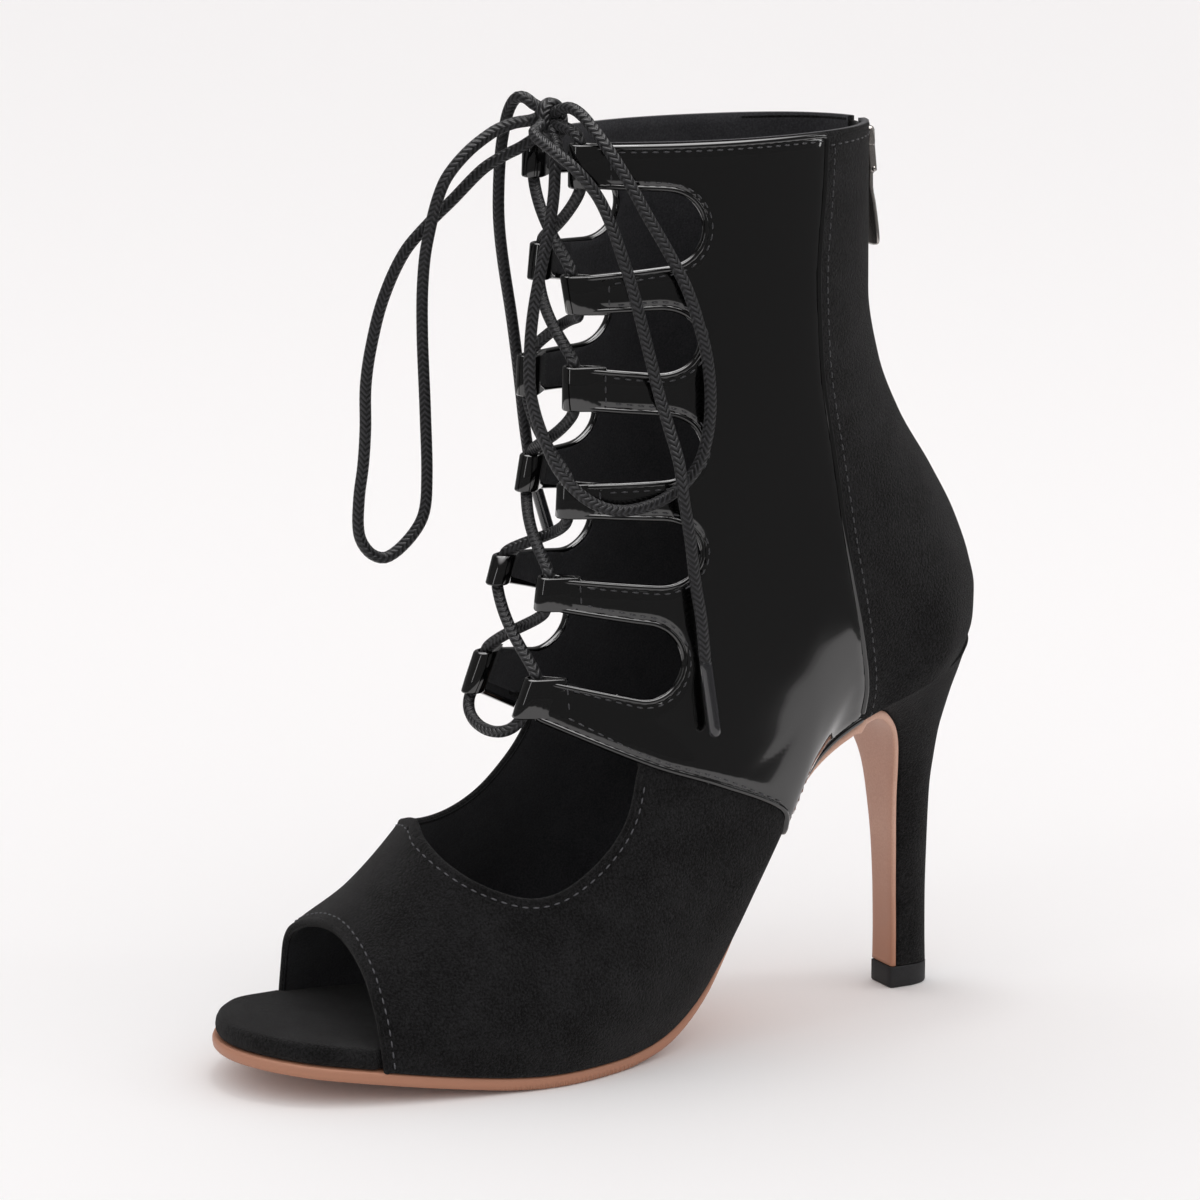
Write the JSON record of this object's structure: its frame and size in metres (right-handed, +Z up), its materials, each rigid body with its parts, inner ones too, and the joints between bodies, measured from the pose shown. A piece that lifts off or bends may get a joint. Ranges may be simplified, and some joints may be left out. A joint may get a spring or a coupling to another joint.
{
  "type": "peep toe ankle boot",
  "caption": "Left peep toe ankle boot on a stiletto heel: suede vamp and back, patent sides cut into strap fingers laced up the front to a bow, and a zip up the back.",
  "frame": {"origin": "on the floor under the middle of the boot's length and ball width", "axes": "+Z up, the toe points along -Y, and the outer (lateral) side of the left foot faces +X"},
  "size_m": [0.0821, 0.2154, 0.2435],
  "materials": {
    "suede": "black suede with a short soft nap",
    "patent_leather": "black patent leather, near mirror gloss",
    "sole_leather": "smooth tan sole leather, satin",
    "top_piece_rubber": "matte black rubber",
    "waxed_lace": "black waxed round braid",
    "zip_coil": "matte black zip coil",
    "gunmetal": "polished dark gunmetal",
    "aglet_plastic": "translucent grey plastic"
  },
  "bodies": {
    "boot": {"aglet_lateral": "aglet_plastic", "aglet_medial": "aglet_plastic", "bow_loop_lateral": "waxed_lace", "bow_loop_medial": "waxed_lace", "heel": "suede", "insole": "suede", "lace_bottom_bar": "waxed_lace", "lace_crossing_1": "waxed_lace", "lace_crossing_2": "waxed_lace", "lace_crossing_3": "waxed_lace", "lace_crossing_4": "waxed_lace", "lace_crossing_5": "waxed_lace", "lace_end_lateral": "waxed_lace", "lace_end_medial": "waxed_lace", "lace_knot": "waxed_lace", "lace_top_lateral": "waxed_lace", "lace_top_medial": "waxed_lace", "loop_lateral_1": "patent_leather", "loop_lateral_2": "patent_leather", "loop_lateral_3": "patent_leather", "loop_lateral_4": "patent_leather", "loop_lateral_5": "patent_leather", "loop_lateral_6": "patent_leather", "loop_medial_1": "patent_leather", "loop_medial_2": "patent_leather", "loop_medial_3": "patent_leather", "loop_medial_4": "patent_leather", "loop_medial_5": "patent_leather", "loop_medial_6": "patent_leather", "outsole": "sole_leather", "top_piece": "top_piece_rubber", "upper": "suede", "zip_chain": "zip_coil", "zip_slider": "gunmetal"},
    "pull": {"zip_pull": "gunmetal"}
  },
  "joints": [
    {"name": "zip_pull_hinge", "type": "hinge", "parent": "boot", "child": "pull", "pos_m": [0, 0.07757, 0.2202], "axis": [1, 0, 0], "range_deg": [0, 130]}
  ]
}
